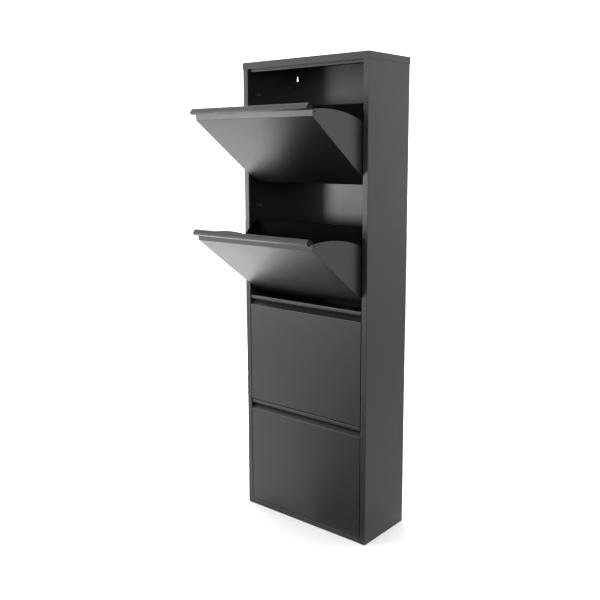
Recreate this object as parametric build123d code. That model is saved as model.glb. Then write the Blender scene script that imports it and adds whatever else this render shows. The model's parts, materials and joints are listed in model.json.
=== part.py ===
from build123d import *
from math import cos, radians, sin
import os

# Steel shoe cabinet with four tilting flaps.
# Millimetres. +Z is up, the front faces -Y, +X is the right-hand side seen from the front.
# The origin is the centre of the base, on the floor.

os.makedirs("parts", exist_ok=True)

# carcass
WIDTH = 450.0
DEPTH = 200.0
HEIGHT = 1360.0
SHEET = 1.0
HALF = SHEET / 2
CAP_LIP = 19.0
FLANGE_WIDTH = 17.5
RETURN_DEPTH = 13.5
REAR_FLANGE = 15.0
TOP_FLANGE = 15.0
BEND_RADIUS = 1.2
BASE_LIP = 16.0
BASE_LIP_RETURN = 9.0
FIT_GAP = 0.2

SIDE_OUTER_X = WIDTH / 2 - SHEET
SIDE_INNER_X = SIDE_OUTER_X - SHEET
OPENING_X = SIDE_OUTER_X - FLANGE_WIDTH
FRONT_Y = -DEPTH / 2 + SHEET
REAR_Y = DEPTH / 2 - SHEET
SIDE_TOP_Z = HEIGHT - SHEET

# top rail behind the cap's front lip
RAIL_FRONT_Y = -89.0
RAIL_BOTTOM_Z = 1332.5
RAIL_TOP_Z = 1358.8
RAIL_UNDERSIDE = 25.0
RAIL_TOP_FLANGE = 20.0
BACK_TOP_Z = 1357.8

# keyholes, pressed button and screws of the back panel
KEYHOLE_X = 179.0
KEYHOLE_Z = 1320.0
KEYHOLE_RADIUS = 3.5
KEYHOLE_SLOT_WIDTH = 3.4
KEYHOLE_SLOT_TOP = 1331.5
BUTTON_X = 25.0
BUTTON_Z = 1345.5
BUTTON_SPHERE_RADIUS = 6.8
BUTTON_HEIGHT = 0.8
SCREW_X = 216.0
SCREW_ROWS = [60.0, 473.0, 886.0, 1300.0]
SCREW_RADIUS = 1.5
SCREW_HEAD_RADIUS = 3.5
SCREW_HEAD_HEIGHT = 0.9
SCREW_LENGTH = 4.0
HOLE_CLEARANCE = 0.05

# flaps: d is the depth behind the carcass front, h the height above the flap's pivot
FLAP_PITCH = 329.0
FIRST_PIVOT_Z = 53.0
PIVOT_D = 6.0
FLAP_HALF_WIDTH = 204.5
FLAP_BOTTOM_H = -35.0
PANEL_BEND_H = 261.0
GROOVE_D = 13.2
GROOVE_H = 271.4
OPEN_ANGLE = 54.0
OPEN_FLAPS = [1, 2]

# wings
WING_OUTER_X = 204.4
WING_TOP_D = 15.0
WING_TOP_H = 269.5
WING_ARC_RADIUS = 480.0
WING_CORNER_RADIUS = 12.0
WING_EAR_RADIUS = 5.0
WING_HOLE_D = 14.0
WING_HOLE_H = 260.5
WING_HOLE_RADIUS = 2.2

# shoe tray, sloped so that it stands upright when the flap is fully open
TRAY_SLOPE = 90.0 - OPEN_ANGLE
TRAY_FOOT_D = 1.5
TRAY_FOOT_H = -33.8
TRAY_LENGTH = 213.0
TRAY_HEM = 6.0
TRAY_FRONT_LIP = 24.0
TRAY_SIDE_HEIGHT = 54.0
TRAY_SIDE_OUTER_X = 203.3
WING_LINE = 30.0
WING_CORNER_S = 165.0

# rivets that join tray and wing
RIVET_S = 144.0
RIVET_T = 48.0
RIVET_RADIUS = 1.5
RIVET_HEAD_RADIUS = 3.0
RIVET_HEAD_HEIGHT = 0.8
RIVET_TAIL_RADIUS = 2.5

# handle bar
BAR_OUTLINE = [(13.4, 272.3), (2.2, 281.2), (2.2, 291.0), (18.0, 291.0), (18.0, 272.3)]
BAR_FILLETS = [0.6, 2.4, 3.0, 3.0, 1.2]
BAR_HALF_LENGTH = 203.0
CAP_PLUG_LENGTH = 6.0

# pivots
PIN_RADIUS = 2.0
PIN_CLEARANCE = 0.05
PIN_HEAD_RADIUS = 4.0
PIN_HEAD_HEIGHT = 1.3
PIN_END_X = 210.0
BUSH_RADIUS = 3.5
BUSH_FLANGE_RADIUS = 5.0
BUSH_FLANGE = 0.9
BUSH_LENGTH = 3.0

# stops
BUFFER_S = 173.0
BUFFER_T = 12.4
BUFFER_RADIUS = 4.0
BUFFER_END_X = 213.5
PEG_RADIUS = 4.0
PEG_INNER_X = 202.5
PEG_HEIGHT = 231.0
STOP_GAP = 0.3


def yz(d, h, pivot_z=0.0):
    """Row-frame (y, z) of depth d and height h above a pivot."""
    return (FRONT_Y + d, pivot_z + h)


def tray_point(s, t):
    """Point s along the tray floor and t above it, as (d, h)."""
    slope = radians(TRAY_SLOPE)
    d = TRAY_FOOT_D + s * cos(slope) - t * sin(slope)
    h = TRAY_FOOT_H + s * sin(slope) + t * cos(slope)
    return (d, h)


def plate_x(outline, x_low, x_high):
    """A flat outline in the YZ plane, spread from x_low to x_high."""
    return Pos(x_low, 0, 0) * extrude(Plane.YZ * outline, amount=x_high - x_low)


def bent_sheet_yz(path, half_width, radius=BEND_RADIUS):
    """Folded sheet whose mid-line is a path of (d, h) points, spread along X."""
    line = FilletPolyline(*[yz(d, h) for d, h in path], radius=radius)
    return plate_x(trace(line, SHEET), -half_width, half_width)


def rod_x(radius, x_low, x_high, y, z):
    """Round bar along X."""
    length = x_high - x_low
    return Pos((x_low + x_high) / 2, y, z) * Rot(0, 90, 0) * Cylinder(radius, length)


def rod_y(radius, y_low, y_high, x, z):
    """Round bar along Y."""
    length = y_high - y_low
    return Pos(x, (y_low + y_high) / 2, z) * Rot(90, 0, 0) * Cylinder(radius, length)


def block(x, y, z):
    """Block from its three pairs of limits."""
    size = [pair[1] - pair[0] for pair in (x, y, z)]
    centre = [(pair[0] + pair[1]) / 2 for pair in (x, y, z)]
    return Pos(*centre) * Box(*size)


def both_sides(right):
    """A right-hand piece together with its mirrored twin."""
    return [right, mirror(right, about=Plane.YZ)]


def pivot_height(flap):
    """Flap 1 is the top one, flap 4 the bottom one."""
    return FIRST_PIVOT_Z + (4 - flap) * FLAP_PITCH


# ---------------------------------------------------------------- carcass

def side_panel():
    """Right side: wall, front flange with return, rear flange and top flange."""
    wall_x = SIDE_OUTER_X - HALF
    return_x = OPENING_X + HALF
    path = [
        (return_x, FRONT_Y + RETURN_DEPTH),
        (return_x, FRONT_Y + HALF),
        (wall_x, FRONT_Y + HALF),
        (wall_x, REAR_Y - HALF),
        (SIDE_OUTER_X - REAR_FLANGE, REAR_Y - HALF),
    ]
    section = trace(FilletPolyline(*path, radius=BEND_RADIUS), SHEET)
    panel = extrude(section, amount=SIDE_TOP_Z)
    inset = 3 * SHEET
    flange_x = (SIDE_INNER_X - TOP_FLANGE, SIDE_INNER_X)
    flange_y = (FRONT_Y + inset, REAR_Y - inset)
    panel += block(flange_x, flange_y, (SIDE_TOP_Z - SHEET, SIDE_TOP_Z))
    for flap in range(1, 5):
        hole_radius = BUSH_RADIUS + HOLE_CLEARANCE
        hole_y = FRONT_Y + PIVOT_D
        hole_x = (OPENING_X - SHEET, OPENING_X + 2 * SHEET)
        panel -= rod_x(hole_radius, hole_x[0], hole_x[1], hole_y, pivot_height(flap))
    for z in SCREW_ROWS:
        hole_radius = SCREW_RADIUS + HOLE_CLEARANCE
        panel -= rod_y(hole_radius, REAR_Y - 2 * SHEET, REAR_Y + SHEET, SCREW_X, z)
    return panel


def top_cap():
    """Shallow lid that wraps over the front, the sides and the back."""
    half_x = WIDTH / 2
    half_y = DEPTH / 2
    lid = block((-half_x, half_x), (-half_y, half_y), (HEIGHT - CAP_LIP, HEIGHT))
    lid = fillet(lid.edges().filter_by(Axis.Z), BEND_RADIUS)
    lid = fillet(lid.faces().sort_by(Axis.Z)[-1].edges(), BEND_RADIUS)
    inner_x = half_x - SHEET
    inner_y = half_y - SHEET
    hollow = block((-inner_x, inner_x), (-inner_y, inner_y), (0, SIDE_TOP_Z))
    return lid - hollow


def top_rail():
    """Folded rail under the cap, between the side returns and above the handle bar's path."""
    face_y = RAIL_FRONT_Y + HALF
    path = [
        (face_y + RAIL_UNDERSIDE, RAIL_BOTTOM_Z + HALF),
        (face_y, RAIL_BOTTOM_Z + HALF),
        (face_y, RAIL_TOP_Z - HALF),
        (face_y + RAIL_TOP_FLANGE, RAIL_TOP_Z - HALF),
    ]
    section = trace(FilletPolyline(*path, radius=BEND_RADIUS), SHEET)
    half_length = OPENING_X - FIT_GAP
    return plate_x(section, -half_length, half_length)


def base_plate():
    """Floor plate with a folded front rail and a rear upstand."""
    half_x = SIDE_INNER_X - FIT_GAP
    front_half_x = OPENING_X - FIT_GAP
    corner_y = FRONT_Y + RETURN_DEPTH + 2 * SHEET
    rear_y = REAR_Y - 2 * SHEET - FIT_GAP
    plate = block((-half_x, half_x), (corner_y, rear_y), (0, SHEET))
    path = [
        (corner_y + HALF, HALF),
        (FRONT_Y + HALF, HALF),
        (FRONT_Y + HALF, BASE_LIP - HALF),
        (FRONT_Y + BASE_LIP_RETURN, BASE_LIP - HALF),
    ]
    section = trace(FilletPolyline(*path, radius=BEND_RADIUS), SHEET)
    plate += plate_x(section, -front_half_x, front_half_x)
    plate += block((-half_x, half_x), (rear_y - SHEET, rear_y), (0, BASE_LIP))
    return plate


def back_panel():
    """Flat rear sheet with two keyholes for wall screws and one low pressed button."""
    half_x = SIDE_INNER_X - SHEET
    y_low = REAR_Y - 2 * SHEET
    y_high = REAR_Y - SHEET
    panel = block((-half_x, half_x), (y_low, y_high), (FIT_GAP, BACK_TOP_Z))
    cut_y = (y_low - SHEET, y_high + SHEET)
    for x in (-KEYHOLE_X, KEYHOLE_X):
        slot_end_z = KEYHOLE_SLOT_TOP - KEYHOLE_SLOT_WIDTH / 2
        slot_x = (x - KEYHOLE_SLOT_WIDTH / 2, x + KEYHOLE_SLOT_WIDTH / 2)
        panel -= rod_y(KEYHOLE_RADIUS, cut_y[0], cut_y[1], x, KEYHOLE_Z)
        panel -= rod_y(KEYHOLE_SLOT_WIDTH / 2, cut_y[0], cut_y[1], x, slot_end_z)
        panel -= block(slot_x, cut_y, (KEYHOLE_Z, slot_end_z))
    ball = Pos(BUTTON_X, y_low - BUTTON_HEIGHT + BUTTON_SPHERE_RADIUS, BUTTON_Z) * Sphere(BUTTON_SPHERE_RADIUS)
    panel += ball & block((-half_x, half_x), (y_low - SHEET, y_low + SHEET / 2), (KEYHOLE_Z, BACK_TOP_Z))
    for x in (-SCREW_X, SCREW_X):
        for z in SCREW_ROWS:
            panel -= rod_y(SCREW_RADIUS + HOLE_CLEARANCE, cut_y[0], cut_y[1], x, z)
    return panel


def back_panel_screw(x, z):
    """Low-headed screw from behind."""
    head = rod_y(SCREW_HEAD_RADIUS, REAR_Y, REAR_Y + SCREW_HEAD_HEIGHT, x, z)
    shank = rod_y(SCREW_RADIUS, REAR_Y - SCREW_LENGTH, REAR_Y, x, z)
    return head + shank


def pivot_bush(z):
    """Flanged bush in the return of the right side panel."""
    y = FRONT_Y + PIVOT_D
    flange = rod_x(BUSH_FLANGE_RADIUS, OPENING_X - BUSH_FLANGE, OPENING_X, y, z)
    sleeve = rod_x(BUSH_RADIUS, OPENING_X, OPENING_X + BUSH_LENGTH, y, z)
    bore_radius = PIN_RADIUS + PIN_CLEARANCE
    bore = rod_x(bore_radius, OPENING_X - SHEET, OPENING_X + BUSH_LENGTH + SHEET, y, z)
    return flange + sleeve - bore


def wing_arc_centre():
    """Centre of the wing's long edge, as (d, h)."""
    end_d, end_h = tray_point(WING_CORNER_S, WING_LINE)
    mid_d = (WING_TOP_D + end_d) / 2
    mid_h = (WING_TOP_H + end_h) / 2
    run = end_d - WING_TOP_D
    rise = end_h - WING_TOP_H
    chord = (run**2 + rise**2) ** 0.5
    reach = (WING_ARC_RADIUS**2 - (chord / 2) ** 2) ** 0.5
    return (mid_d + rise / chord * reach, mid_h - run / chord * reach)


def closing_peg(z):
    """Rubber peg on the side wall, just behind the wing of the closed flap."""
    centre_d, centre_h = wing_arc_centre()
    reach = WING_ARC_RADIUS + PEG_RADIUS + STOP_GAP
    rise = PEG_HEIGHT - centre_h
    peg_d = centre_d + (reach**2 - rise**2) ** 0.5
    peg_y, peg_z = yz(peg_d, PEG_HEIGHT, z)
    return rod_x(PEG_RADIUS, PEG_INNER_X, SIDE_INNER_X, peg_y, peg_z)


# ---------------------------------------------------------------- flap, drawn closed, pivot at z = 0

def front_panel():
    """Front sheet; its top edge is folded inwards to make the finger groove."""
    path = [(HALF, FLAP_BOTTOM_H), (HALF, PANEL_BEND_H), (GROOVE_D, GROOVE_H)]
    return bent_sheet_yz(path, FLAP_HALF_WIDTH)


def wing():
    """Right-hand wing with a long curved edge and a pivot ear."""
    groove_slope = (GROOVE_H - PANEL_BEND_H) / (GROOVE_D - HALF)
    under_groove = 0.9
    top_front = (SHEET, PANEL_BEND_H - under_groove)
    top_rear_d = GROOVE_D - SHEET
    top_rear = (top_rear_d, top_front[1] + (top_rear_d - SHEET) * groove_slope)
    arc_start = (WING_TOP_D, WING_TOP_H)
    corner = tray_point(WING_CORNER_S, WING_LINE)
    heel = tray_point(TRAY_SIDE_HEIGHT * 0.65, WING_LINE)
    ear_rear_d = PIVOT_D + WING_EAR_RADIUS
    outline = [
        arc_start,
        top_rear,
        top_front,
        (SHEET, FLAP_BOTTOM_H + 5 * SHEET),
        (ear_rear_d, -20.0),
        (ear_rear_d, 0.0),
        heel,
        corner,
    ]
    straight = Polyline(*[yz(d, h) for d, h in outline])
    curve = RadiusArc(yz(*corner), yz(*arc_start), -WING_ARC_RADIUS)
    if curve.length > 2 * WING_ARC_RADIUS:
        raise ValueError("the wing's long edge must be the short arc")
    face = make_face(straight.edges() + curve.edges())
    corner_point = Vector(*yz(*corner), 0)
    rear_corner = face.vertices().sort_by(lambda v: (Vector(v) - corner_point).length)[0]
    face = fillet(rear_corner, WING_CORNER_RADIUS)
    plate = plate_x(face, WING_OUTER_X - SHEET, WING_OUTER_X)
    cut_x = (WING_OUTER_X - 2 * SHEET, WING_OUTER_X + SHEET)
    plate -= rod_x(PIN_RADIUS + PIN_CLEARANCE, cut_x[0], cut_x[1], *yz(PIVOT_D, 0))
    plate -= rod_x(WING_HOLE_RADIUS, cut_x[0], cut_x[1], *yz(WING_HOLE_D, WING_HOLE_H))
    rivet_radius = RIVET_RADIUS + HOLE_CLEARANCE
    plate -= rod_x(rivet_radius, cut_x[0], cut_x[1], *yz(*tray_point(RIVET_S, RIVET_T)))
    return plate


def shoe_tray():
    """Sloping tray with a front lip, a rear hem and two side flanges."""
    path = [
        (TRAY_FOOT_D, TRAY_FOOT_H + TRAY_FRONT_LIP),
        (TRAY_FOOT_D, TRAY_FOOT_H),
        tray_point(TRAY_LENGTH, 0),
        tray_point(TRAY_LENGTH, -TRAY_HEM),
    ]
    tray = bent_sheet_yz(path, TRAY_SIDE_OUTER_X)
    slope = radians(TRAY_SLOPE)
    behind_panel = SHEET + FIT_GAP
    shift = behind_panel - TRAY_FOOT_D
    top_start = (shift + TRAY_SIDE_HEIGHT * sin(slope)) / cos(slope)
    foot_start = (behind_panel, TRAY_FOOT_H + 2 * SHEET)
    outline = [
        foot_start,
        tray_point(3.0, 0),
        tray_point(TRAY_LENGTH - SHEET, 0),
        tray_point(TRAY_LENGTH - SHEET, 10.0),
        tray_point(TRAY_LENGTH - 40.0, TRAY_SIDE_HEIGHT),
        tray_point(top_start, TRAY_SIDE_HEIGHT),
    ]
    points = [yz(d, h) for d, h in outline]
    side = make_face(Polyline(*points, close=True))
    flange = plate_x(side, TRAY_SIDE_OUTER_X - SHEET, TRAY_SIDE_OUTER_X)
    cut_x = (TRAY_SIDE_OUTER_X - 2 * SHEET, TRAY_SIDE_OUTER_X + SHEET)
    flange -= rod_x(PIN_RADIUS + PIN_CLEARANCE, cut_x[0], cut_x[1], *yz(PIVOT_D, 0))
    rivet_radius = RIVET_RADIUS + HOLE_CLEARANCE
    flange -= rod_x(rivet_radius, cut_x[0], cut_x[1], *yz(*tray_point(RIVET_S, RIVET_T)))
    for piece in both_sides(flange):
        tray += piece
    return tray


def bar_face():
    """Outer outline of the handle bar with its rounded corners."""
    face = make_face(Polyline(*[yz(d, h) for d, h in BAR_OUTLINE], close=True))
    for point, radius in zip(BAR_OUTLINE, BAR_FILLETS):
        target = Vector(*yz(*point), 0)
        corner = face.vertices().sort_by(lambda v: (Vector(v) - target).length)[0]
        face = fillet(corner, radius)
    return face


def handle_bar():
    """Hollow bar across the top of the flap, in front of the finger groove."""
    outer = bar_face()
    inner = offset(outer, -SHEET)
    return plate_x(outer - inner, -BAR_HALF_LENGTH, BAR_HALF_LENGTH)


def handle_end_cap():
    """Plug and cover for the right end of the handle bar."""
    outer = bar_face()
    plug_face = offset(outer, -SHEET - HOLE_CLEARANCE)
    cover = plate_x(outer, BAR_HALF_LENGTH, FLAP_HALF_WIDTH)
    plug = plate_x(plug_face, BAR_HALF_LENGTH - CAP_PLUG_LENGTH, BAR_HALF_LENGTH)
    return cover + plug


def pivot_pin():
    """Headed pin through tray and wing into the bush."""
    inner_x = TRAY_SIDE_OUTER_X - SHEET
    head = rod_x(PIN_HEAD_RADIUS, inner_x - PIN_HEAD_HEIGHT, inner_x, *yz(PIVOT_D, 0))
    shank = rod_x(PIN_RADIUS, inner_x, PIN_END_X, *yz(PIVOT_D, 0))
    return head + shank


def stop_buffer():
    """Rubber buffer that meets the side panel's return when the flap is open."""
    y, z = yz(*tray_point(BUFFER_S, BUFFER_T))
    return rod_x(BUFFER_RADIUS, TRAY_SIDE_OUTER_X, BUFFER_END_X, y, z)


def tray_rivet():
    """Rivet through wing and tray flange."""
    y, z = yz(*tray_point(RIVET_S, RIVET_T))
    inner_x = TRAY_SIDE_OUTER_X - SHEET
    head_x = WING_OUTER_X + RIVET_HEAD_HEIGHT
    head = rod_x(RIVET_HEAD_RADIUS, WING_OUTER_X, head_x, y, z)
    head = fillet(head.edges().filter_by(GeomType.CIRCLE).sort_by(Axis.X)[-1], 0.6)
    shank = rod_x(RIVET_RADIUS, inner_x, WING_OUTER_X, y, z)
    tail = rod_x(RIVET_TAIL_RADIUS, inner_x - RIVET_HEAD_HEIGHT, inner_x, y, z)
    return head + shank + tail


def hang(pieces, flap):
    """Set a flap's pieces on its pivot, opened if that flap stands open."""
    z = pivot_height(flap)
    angle = OPEN_ANGLE if flap in OPEN_FLAPS else 0.0
    axis = Axis((0, FRONT_Y + PIVOT_D, z), (1, 0, 0))
    return [(Pos(0, 0, z) * piece).rotate(axis, angle) for piece in pieces]


def save(name, pieces):
    """Write one node; several pieces become a group of separate solids."""
    solids = [solid for piece in pieces for solid in piece.solids()]
    shape = solids[0] if len(solids) == 1 else Compound(children=solids)
    shape.label = name
    export_step(shape, "parts/" + name + ".step")


right_side = side_panel()
save("right_side_panel", [right_side])
save("left_side_panel", [mirror(right_side, about=Plane.YZ)])
save("back_panel", [back_panel()])
save("top_cap", [top_cap()])
save("top_rail", [top_rail()])
save("base_plate", [base_plate()])

bushes = []
pegs = []
for flap_number in range(1, 5):
    bushes += both_sides(pivot_bush(pivot_height(flap_number)))
    pegs += both_sides(closing_peg(pivot_height(flap_number)))
save("pivot_bushes", bushes)
save("closing_stop_pegs", pegs)

screws = [back_panel_screw(x, z) for x in (-SCREW_X, SCREW_X) for z in SCREW_ROWS]
save("back_panel_screws", screws)

right_wing = wing()
flap_nodes = {
    "front_panel": [front_panel()],
    "left_wing": [mirror(right_wing, about=Plane.YZ)],
    "right_wing": [right_wing],
    "shoe_tray": [shoe_tray()],
    "handle_bar": [handle_bar()],
    "handle_end_caps": both_sides(handle_end_cap()),
    "pivot_pins": both_sides(pivot_pin()),
    "stop_buffers": both_sides(stop_buffer()),
    "tray_rivets": both_sides(tray_rivet()),
}
for flap_number in range(1, 5):
    for node_name, node_pieces in flap_nodes.items():
        save("flap_%d_%s" % (flap_number, node_name), hang(node_pieces, flap_number))
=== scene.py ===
import json
import math

import bmesh
import bpy
from mathutils import Matrix, Vector


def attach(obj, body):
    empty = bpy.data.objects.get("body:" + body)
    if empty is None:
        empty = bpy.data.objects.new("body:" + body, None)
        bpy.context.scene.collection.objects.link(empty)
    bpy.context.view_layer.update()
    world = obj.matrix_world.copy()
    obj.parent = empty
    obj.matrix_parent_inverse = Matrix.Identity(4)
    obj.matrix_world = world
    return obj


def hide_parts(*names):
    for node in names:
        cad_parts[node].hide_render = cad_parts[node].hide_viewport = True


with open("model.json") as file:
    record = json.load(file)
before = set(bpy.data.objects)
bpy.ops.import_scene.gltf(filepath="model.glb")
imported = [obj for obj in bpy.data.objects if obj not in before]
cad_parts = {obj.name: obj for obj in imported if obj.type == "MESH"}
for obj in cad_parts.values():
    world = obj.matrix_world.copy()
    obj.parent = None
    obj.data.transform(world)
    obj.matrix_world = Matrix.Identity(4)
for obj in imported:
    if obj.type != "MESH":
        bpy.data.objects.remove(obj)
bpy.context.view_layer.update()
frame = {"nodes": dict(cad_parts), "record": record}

nodes = frame["nodes"]


# ---------------------------------------------------------------- node trees

class Tree:
    """Short calls for building a shader's nodes."""

    def __init__(self, owner):
        owner.use_nodes = True
        self.nodes = owner.node_tree.nodes
        self.links = owner.node_tree.links
        self.nodes.clear()

    def add(self, kind, **inputs):
        """New node; each keyword is a property of the node or else one of its sockets."""
        node = self.nodes.new(kind)
        for key, value in inputs.items():
            if hasattr(node, key):
                setattr(node, key, value)
            else:
                self.feed(node, key.replace("_", " "), value)
        return node

    def feed(self, node, socket, value):
        """Link a socket's value in, or set a plain number or colour."""
        target = node.inputs[socket]
        if isinstance(value, bpy.types.NodeSocket):
            self.links.new(value, target)
        else:
            target.default_value = value


def noise(tree, where, scale, detail=2.0, roughness=0.5):
    """Noise value from 0 to 1; the scale counts per metre."""
    node = tree.add("ShaderNodeTexNoise", Vector=where, Scale=scale, Detail=detail)
    node.inputs["Roughness"].default_value = roughness
    return node.outputs["Fac"]


def remap(tree, value, low, high, to_low, to_high):
    """Straight-line change of range, held at both ends."""
    node = tree.add("ShaderNodeMapRange")
    tree.feed(node, "Value", value)
    for socket, number in (("From Min", low), ("From Max", high), ("To Min", to_low), ("To Max", to_high)):
        node.inputs[socket].default_value = number
    return node.outputs["Result"]


def ramp(tree, value, stops):
    """Colour ramp from (position, (r, g, b)) stops."""
    node = tree.add("ShaderNodeValToRGB")
    tree.feed(node, "Fac", value)
    elements = node.color_ramp.elements
    while len(elements) < len(stops):
        elements.new(0.5)
    for element, (position, colour) in zip(elements, stops):
        element.position = position
        element.color = (*colour, 1.0)
    return node.outputs["Color"]


MIX_SHARE, MIX_FIRST, MIX_SECOND, MIX_RESULT = 0, 6, 7, 2


def mix_colour(tree, share, first, second):
    """Colour between two colours, by a share from 0 to 1."""
    node = tree.nodes.new("ShaderNodeMix")
    node.data_type = "RGBA"
    for socket, value in ((MIX_SHARE, share), (MIX_FIRST, first), (MIX_SECOND, second)):
        if isinstance(value, bpy.types.NodeSocket):
            tree.links.new(value, node.inputs[socket])
        elif isinstance(value, tuple):
            node.inputs[socket].default_value = (*value, 1.0)
        else:
            node.inputs[socket].default_value = value
    return node.outputs[MIX_RESULT]


def bump(tree, height, strength, distance, normal=None):
    """Small relief, on top of another normal if one is given."""
    node = tree.add("ShaderNodeBump", Height=height, Strength=strength, Distance=distance)
    if normal is not None:
        tree.links.new(normal, node.inputs["Normal"])
    return node.outputs["Normal"]


def finish_material(tree, shader):
    """Join a surface shader to the material's output."""
    out = tree.add("ShaderNodeOutputMaterial")
    tree.links.new(shader.outputs["BSDF"], out.inputs["Surface"])


def powder_coat(name, dark, light, rough, specular=0.5):
    """Satin powder coat: orange peel, fine grain, faint mottling, and edges painted paler, partly as wear
    and partly as a painted highlight.
    """
    material = bpy.data.materials.new(name)
    tree = Tree(material)
    where = tree.add("ShaderNodeTexCoord").outputs["Object"]
    mottling = noise(tree, where, 9.0, 3.0)
    grain = noise(tree, where, 1500.0, 1.0)
    peel = noise(tree, where, 420.0, 2.0)
    specks = noise(tree, where, 2600.0, 0.0)
    base = ramp(tree, mottling, [(0.3, dark), (0.7, light)])
    speck_colour = tuple(1.7 * c for c in light)
    base = mix_colour(tree, remap(tree, specks, 0.66, 0.8, 0.0, 0.5), base, speck_colour)
    rounded = tree.add("ShaderNodeBevel", samples=4, Radius=0.0005).outputs["Normal"]
    flat = tree.add("ShaderNodeNewGeometry").outputs["Normal"]
    edge = tree.add("ShaderNodeVectorMath", operation="DOT_PRODUCT")
    tree.links.new(rounded, edge.inputs[0])
    tree.links.new(flat, edge.inputs[1])
    # Edges are painted paler here: partly wear, partly a painted highlight along the edges.
    edge_wear_and_highlight = remap(tree, edge.outputs["Value"], 0.985, 0.8, 0.0, 0.55)
    edge_wear_highlight_colour = tuple(2.2 * c for c in light)
    base = mix_colour(tree, edge_wear_and_highlight, base, edge_wear_highlight_colour)
    shader = tree.add("ShaderNodeBsdfPrincipled")
    tree.feed(shader, "Base Color", base)
    shader.inputs["Specular IOR Level"].default_value = specular
    smudges = noise(tree, where, 5.0, 5.0, 0.6)
    tree.feed(shader, "Roughness", remap(tree, smudges, 0.3, 0.7, rough - 0.03, rough + 0.03))
    coarse = bump(tree, peel, 0.10, 0.0004, rounded)
    tree.feed(shader, "Normal", bump(tree, grain, 0.12, 0.00012, coarse))
    finish_material(tree, shader)
    return material


def moulded(name, dark, light, rough, grain_scale, specular=0.5):
    """Moulded plastic or rubber with a fine spark-eroded grain."""
    material = bpy.data.materials.new(name)
    tree = Tree(material)
    where = tree.add("ShaderNodeTexCoord").outputs["Object"]
    grain = noise(tree, where, grain_scale, 2.0)
    shader = tree.add("ShaderNodeBsdfPrincipled")
    tree.feed(shader, "Base Color", ramp(tree, noise(tree, where, 60.0, 3.0), [(0.35, dark), (0.65, light)]))
    shader.inputs["Specular IOR Level"].default_value = specular
    tree.feed(shader, "Roughness", remap(tree, grain, 0.3, 0.7, rough - 0.05, rough + 0.05))
    tree.feed(shader, "Normal", bump(tree, grain, 0.25, 0.0001))
    finish_material(tree, shader)
    return material


def zinc(name):
    """Bright zinc plating with a faint blue and straw tint."""
    material = bpy.data.materials.new(name)
    tree = Tree(material)
    where = tree.add("ShaderNodeTexCoord").outputs["Object"]
    tint = noise(tree, where, 140.0, 3.0)
    scratches = noise(tree, where, 1800.0, 2.0)
    shader = tree.add("ShaderNodeBsdfPrincipled", Metallic=1.0)
    stops = [(0.3, (0.50, 0.53, 0.57)), (0.55, (0.60, 0.60, 0.60)), (0.75, (0.62, 0.60, 0.54))]
    tree.feed(shader, "Base Color", ramp(tree, tint, stops))
    tree.feed(shader, "Roughness", remap(tree, scratches, 0.3, 0.7, 0.26, 0.38))
    tree.feed(shader, "Normal", bump(tree, scratches, 0.15, 0.00005))
    finish_material(tree, shader)
    return material


PAINT_DARK = (0.0030, 0.0032, 0.0037)
PAINT_LIGHT = (0.0042, 0.0044, 0.0050)
paints = {
    "carcass_paint": powder_coat("anthracite_powder_coat", PAINT_DARK, PAINT_LIGHT, 0.40),
    "flap_paint": powder_coat("anthracite_powder_coat_flaps", PAINT_DARK, PAINT_LIGHT, 0.37),
    "black_plastic": moulded(
        "moulded_black_plastic", (0.010, 0.010, 0.011), (0.014, 0.014, 0.015), 0.48, 1500.0
    ),
    "rubber": moulded("black_rubber", (0.012, 0.012, 0.012), (0.020, 0.020, 0.019), 0.78, 900.0),
    "zinc_steel": zinc("bright_zinc"),
}
# Painted shade: the tray sheets get a near-black coat with little sheen, standing in for the deep shade
# inside the open flaps.
TRAY_SHADE_SPECULAR = 0.04
CAP_SPECULAR = 0.12
tray_painted_shade = powder_coat(
    "tray_painted_shade_black", (0.0010, 0.0011, 0.0014), (0.0015, 0.0017, 0.0021), 0.7, TRAY_SHADE_SPECULAR
)
cap_finish = moulded(
    "matt_black_end_cap", (0.0020, 0.0020, 0.0023), (0.0032, 0.0032, 0.0036), 0.62, 1500.0, CAP_SPECULAR
)
rivet_finish = moulded(
    "blackened_rivet", (0.0025, 0.0025, 0.0028), (0.0040, 0.0040, 0.0044), 0.5, 1200.0
)
slot_of = {row["node"]: row["material_slot"] for row in frame["record"]["subparts"]}


def set_material(obj, material):
    """Give an object one material for its whole surface."""
    obj.data.materials.clear()
    obj.data.materials.append(material)


for node_name, obj in nodes.items():
    set_material(obj, paints[slot_of[node_name]])
    # The trays take the near-black painted-shade coat.
    if node_name.endswith("shoe_tray"):
        set_material(obj, tray_painted_shade)
    elif node_name.endswith("handle_end_caps"):
        set_material(obj, cap_finish)


# ---------------------------------------------------------------- turned hardware

SHARP_ANGLE = 38

class Solid:
    """Box of one loose solid of a CAD node, in metres."""

    def __init__(self, points):
        self.low = Vector([min(point[axis] for point in points) for axis in range(3)])
        self.high = Vector([max(point[axis] for point in points) for axis in range(3)])
        self.centre = (self.low + self.high) / 2


def loose_solids(node_name):
    """The separate solids of a CAD node, sorted by position."""
    obj = nodes[node_name]
    bm = bmesh.new()
    bm.from_mesh(obj.data)
    bmesh.ops.remove_doubles(bm, verts=bm.verts, dist=1e-6)
    left = set(bm.verts)
    solids = []
    while left:
        stack = [left.pop()]
        points = []
        while stack:
            vert = stack.pop()
            points.append(obj.matrix_world @ vert.co)
            for edge in vert.link_edges:
                other = edge.other_vert(vert)
                if other in left:
                    left.remove(other)
                    stack.append(other)
        solids.append(Solid(points))
    bm.free()
    return sorted(solids, key=lambda solid: tuple(solid.low))


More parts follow.
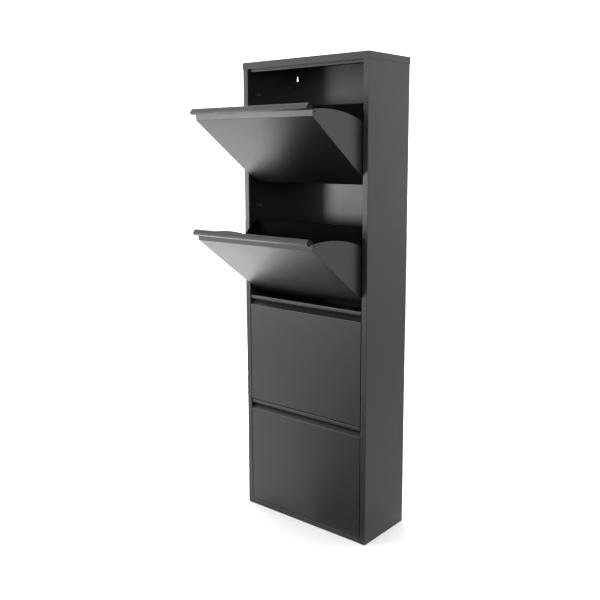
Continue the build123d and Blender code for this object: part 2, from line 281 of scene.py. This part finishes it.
def turn(bm, origin, along, profile, segments=40, closed=False, dip=None):
    """Revolve (radius, distance) pairs about an axis; dip lowers the points with a third value."""
    up = Vector((0, 0, 1))
    side = along.cross(up)
    rings = []
    for radius, distance, *dipped in profile:
        ring = []
        for index in range(segments if radius > 0 else 1):
            angle = 2 * math.pi * index / segments
            across, upward = radius * math.cos(angle), radius * math.sin(angle)
            depth = dip(across, upward) if dipped else 0.0
            ring.append(bm.verts.new(origin + side * across + up * upward + along * (distance - depth)))
        rings.append(ring)
    if closed:
        rings.append(rings[0])
    for ring, following in zip(rings, rings[1:]):
        for index in range(segments):
            after = (index + 1) % segments
            if len(ring) == 1:
                bm.faces.new((ring[0], following[index], following[after]))
            elif len(following) == 1:
                bm.faces.new((ring[index], following[0], ring[after]))
            else:
                bm.faces.new((ring[index], following[index], following[after], ring[after]))


def rounded(radius, distance, bend, side, steps=4):
    """Quarter-round corner; side is 1 where the piece ends at this distance and -1 where it starts."""
    points = []
    for step in range(steps + 1):
        angle = math.pi / 2 * step / steps
        out = radius - bend + bend * math.cos(angle)
        points.append((out, distance - side * bend * (1 - math.sin(angle))))
    return points if side > 0 else points[::-1]


def finish_piece(name, bm, material, body, node_name):
    """Make the piece that rides on a body and replaces a CAD node."""
    bmesh.ops.recalc_face_normals(bm, faces=bm.faces)
    mesh = bpy.data.meshes.new(name)
    bm.to_mesh(mesh)
    bm.free()
    for polygon in mesh.polygons:
        polygon.use_smooth = True
    mesh.set_sharp_from_angle(angle=math.radians(SHARP_ANGLE))
    piece = bpy.data.objects.new(name, mesh)
    bpy.context.scene.collection.objects.link(piece)
    set_material(piece, material)
    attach(piece, body)
    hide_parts(node_name)


def mirrored_pieces(name, node_name, body, material, make_profile, closed=False):
    """Replace a node of paired pieces on the X axis; profiles count outwards from the middle plane."""
    bm = bmesh.new()
    for solid in loose_solids(node_name):
        side = 1 if solid.centre.x > 0 else -1
        inner, outer = sorted((side * solid.low.x, side * solid.high.x))
        radius = (solid.high.z - solid.low.z) / 2
        origin = Vector((0, solid.centre.y, solid.centre.z))
        turn(bm, origin, Vector((side, 0, 0)), make_profile(inner, outer, radius), closed=closed)
    finish_piece(name, bm, material, body, node_name)


def buffer_profile(inner, outer, radius):
    """Rubber buffer: rounded ends and two shallow grip grooves."""
    groove_half = 0.0005
    groove_depth = 0.0004
    floor_half = 0.0003
    points = [(0, inner), *rounded(radius, inner, 0.0004, -1)]
    for place in (0.35, 0.55):
        middle = inner + place * (outer - inner)
        points += [(radius, middle - groove_half), (radius - groove_depth, middle - floor_half)]
        points += [(radius - groove_depth, middle + floor_half), (radius, middle + groove_half)]
    return points + [*rounded(radius, outer, 0.0012, 1), (0, outer)]


def peg_profile(inner, outer, radius):
    """Rubber stop peg: rounded tip and a moulded line at the wall."""
    waist = radius - 0.0004
    points = [(0, inner), *rounded(radius, inner, 0.0012, -1)]
    points += [(radius, outer - 0.0022), (waist, outer - 0.0019)]
    return points + [(waist, outer - 0.0015), (radius, outer - 0.0012), (radius, outer), (0, outer)]


def pin_profile(inner, outer, radius):
    """Headed pivot pin: dished head inside the tray, chamfered tip in the bush."""
    head_height = 0.0013
    dish_depth = 0.0003
    chamfer = 0.0006
    shoulder = inner + head_height
    shank = radius / 2
    points = [(0, inner + dish_depth), (0.0018, inner + dish_depth), (0.0021, inner)]
    points += rounded(radius, inner, 0.0005, -1)
    points += [(radius, shoulder), (shank, shoulder), (shank, outer - chamfer)]
    return points + [(shank - chamfer, outer), (0, outer)]


def rivet_profile(inner, outer, radius):
    """Blind rivet: domed head with the mandrel's end in its middle, and a clenched tail."""
    head_height = 0.0008
    shank = 0.0015
    tail_radius = 0.0025
    face = outer - head_height
    tail = inner + head_height
    points = [(0, inner), *rounded(tail_radius, inner, 0.0004, -1)]
    points += [(tail_radius, tail), (shank, tail), (shank, face)]
    for step in range(7):
        angle = math.radians(90 - 12 * step)
        points.append((radius * math.sin(angle), face + head_height * math.cos(angle)))
    height = points[-1][1]
    return points + [(0.00075, height - 0.0002), (0.00065, height - 0.0005), (0, height - 0.0004)]


def bush_profile(inner, outer, radius):
    """Flanged plastic bush around a 4.1 mm bore."""
    bore = 0.00205
    lead_in = 0.0002
    flange = 0.0009
    body_radius = 0.0035
    points = [(bore, outer), (bore, inner + lead_in), (bore + lead_in, inner)]
    points += rounded(radius, inner, 0.0003, -1)
    points += [(radius, inner + flange), (body_radius, inner + flange)]
    return points + rounded(body_radius, outer, 0.0004, 1)


def cross_recess(across, upward):
    """Depth of a screwdriver's cross below the screw's face."""
    arm_length, end_slope = 0.0019, 0.0003
    arm_half_width, side_slope = 0.00050, 0.00018
    recess_depth = 0.0007
    share = 0.0
    for length, width in ((abs(across), abs(upward)), (abs(upward), abs(across))):
        inside = min((arm_length - length) / end_slope, (arm_half_width - width) / side_slope)
        share = max(share, min(1.0, max(0.0, inside)))
    return recess_depth * share


def back_screws(name, node_name, body, material):
    """Low-headed cross-recess screws from behind, whose tips end inside the back panel."""
    head_height = 0.0009
    tip_depth = 0.0021
    tip_radius, root_radius, crest_radius = 0.0005, 0.0012, 0.0015
    taper = 0.0010
    thread_pitch = 0.0005
    head_bend = 0.0005
    crown = 0.0001
    face_rings = 26
    bm = bmesh.new()
    for solid in loose_solids(node_name):
        face = solid.high.y
        tip = face - tip_depth
        seat = face - head_height
        radius = (solid.high.z - solid.low.z) / 2
        points = [(0, tip), (tip_radius, tip), (crest_radius, tip + taper)]
        thread = tip + taper
        while thread + thread_pitch < seat:
            points += [(root_radius, thread + thread_pitch / 2), (crest_radius, thread + thread_pitch)]
            thread += thread_pitch
        points += [(crest_radius, seat), (radius, seat), *rounded(radius, face - crown, head_bend, 1)]
        for step in range(1, face_rings + 1):
            share = step / face_rings
            points.append(((radius - head_bend) * (1 - share), face - crown * (1 - share), True))
        origin = Vector((solid.centre.x, 0, solid.centre.z))
        turn(bm, origin, Vector((0, 1, 0)), points, segments=64, dip=cross_recess)
    finish_piece(name, bm, material, body, node_name)


back_screws("back_screws", "back_panel_screws", "carcass", paints["zinc_steel"])
mirrored_pieces("rubber_stop_pegs", "closing_stop_pegs", "carcass", paints["rubber"], peg_profile)
mirrored_pieces(
    "plastic_bushes", "pivot_bushes", "carcass", paints["black_plastic"], bush_profile, closed=True
)
for body in sorted(name for name in frame["record"]["behaviour"]["bodies"] if name != "carcass"):
    mirrored_pieces(body + "_pins", body + "_pivot_pins", body, paints["zinc_steel"], pin_profile)
    mirrored_pieces(body + "_buffers", body + "_stop_buffers", body, paints["rubber"], buffer_profile)
    mirrored_pieces(body + "_rivets", body + "_tray_rivets", body, rivet_finish, rivet_profile)


# ---------------------------------------------------------------- floor, light and camera

FLOOR_HALF = 7.0
FLOOR_GREY = 0.8
FLOOR_OUTLINE = [(-FLOOR_HALF, -FLOOR_HALF), (FLOOR_HALF, -FLOOR_HALF), (FLOOR_HALF, FLOOR_HALF),
                 (-FLOOR_HALF, FLOOR_HALF)]
FRONT_FLAG_OUTLINE = [(0.02, -0.13), (-2.3, -3.0), (3.2, -3.0), (3.2, -0.13)]
FRONT_FLAG_GREY = 0.24
SIDE_FLAG_OUTLINE = [(0.26, -0.12), (4.5, -0.12), (4.5, 4.5), (0.26, 4.5)]
SIDE_FLAG_GREY = 0.55
SHEET_OFFSET = 0.0005
HIDDEN_RAYS = ("camera", "diffuse", "shadow", "transmission", "volume_scatter")


def floor_sheet(name, outline, height, material_name, grey):
    """Flat plain sheet of the stage, from the four corners of its outline."""
    sheet_mesh = bpy.data.meshes.new(name)
    sheet_mesh.from_pydata([(x, y, 0) for x, y in outline], [], [(0, 1, 2, 3)])
    sheet = bpy.data.objects.new(name, sheet_mesh)
    sheet.location.z = height
    bpy.context.scene.collection.objects.link(sheet)
    material = bpy.data.materials.new(material_name)
    tree = Tree(material)
    finish_material(tree, tree.add("ShaderNodeBsdfDiffuse", Color=(grey, grey, grey, 1.0)))
    set_material(sheet, material)
    return sheet


def floor_flag(name, outline, grey):
    """Darker stretch of floor that only reflections see."""
    flag = floor_sheet(name, outline, SHEET_OFFSET, name, grey)
    for kind in HIDDEN_RAYS:
        setattr(flag, "visible_" + kind, False)


floor_sheet("floor", FLOOR_OUTLINE, -SHEET_OFFSET, "pale_floor", FLOOR_GREY)
floor_flag("front_flag", FRONT_FLAG_OUTLINE, FRONT_FLAG_GREY)
floor_flag("side_flag", SIDE_FLAG_OUTLINE, SIDE_FLAG_GREY)

WORLD_BRIGHT_SIDE = (-0.8, 0.5, 0.3)
WORLD_COLOUR = (0.985, 0.99, 1.0, 1.0)
WORLD_LOW = 0.85
WORLD_HIGH = 2.0
world = bpy.data.worlds.new("studio")
bpy.context.scene.world = world
tree = Tree(world)
direction = tree.add("ShaderNodeTexCoord").outputs["Generated"]
toward = tree.add("ShaderNodeVectorMath", operation="DOT_PRODUCT")
tree.links.new(direction, toward.inputs[0])
toward.inputs[1].default_value = WORLD_BRIGHT_SIDE
strength = remap(tree, toward.outputs["Value"], -0.8, 0.8, WORLD_LOW, WORLD_HIGH)
background = tree.add("ShaderNodeBackground", Color=WORLD_COLOUR, Strength=strength)
out = tree.add("ShaderNodeOutputWorld")
tree.links.new(background.outputs["Background"], out.inputs["Surface"])
bpy.context.scene.view_settings.view_transform = "Standard"
bpy.context.scene.view_settings.look = "None"


def softbox(name, place, target, width, height, watts, spread=180.0):
    """Rectangular light that faces its target."""
    data = bpy.data.lights.new(name, "AREA")
    data.shape = "RECTANGLE"
    data.size = width
    data.size_y = height
    data.energy = watts
    data.spread = math.radians(spread)
    light = bpy.data.objects.new(name, data)
    light.location = place
    light.rotation_euler = (Vector(target) - Vector(place)).to_track_quat("-Z", "Y").to_euler()
    bpy.context.scene.collection.objects.link(light)


softbox("key_softbox", (-1.7, -2.05, 0.9), (0, 0, 0.9), 0.42, 0.5, 24.0)
softbox("floor_light", (-1.35, 0.75, 2.6), (-1.25, 0.65, 0.0), 1.7, 1.5, 29.0, 50.0)
softbox("fill_softbox", (1.75, -1.7, 1.5), (0, 0, 0.9), 0.6, 0.9, 34.0)

CAMERA_PLACE = (1.3904, -1.7855, 1.1079)
CAMERA_YAW = 0.6928
CAMERA_PITCH = -0.1541
CAMERA_ROLL = -0.0037
LENS = 46.372
SENSOR_WIDTH = 36.0
VERTICAL_SHIFT = -0.05
camera_data = bpy.data.cameras.new("camera")
camera = bpy.data.objects.new("camera", camera_data)
forward = Vector((
    -math.sin(CAMERA_YAW) * math.cos(CAMERA_PITCH),
    math.cos(CAMERA_YAW) * math.cos(CAMERA_PITCH),
    math.sin(CAMERA_PITCH),
))
right = Vector((math.cos(CAMERA_YAW), math.sin(CAMERA_YAW), 0))
up = right.cross(forward)
rolled_right = math.cos(CAMERA_ROLL) * right + math.sin(CAMERA_ROLL) * up
rolled_up = rolled_right.cross(forward)
camera_turn = Matrix((rolled_right, rolled_up, -forward)).transposed()
camera.matrix_world = Matrix.Translation(CAMERA_PLACE) @ camera_turn.to_4x4()
camera_data.sensor_width = SENSOR_WIDTH
camera_data.lens = LENS
camera_data.shift_y = VERTICAL_SHIFT
camera_data.clip_start = 0.05
camera_data.clip_end = 60.0
bpy.context.scene.collection.objects.link(camera)
bpy.context.scene.camera = camera
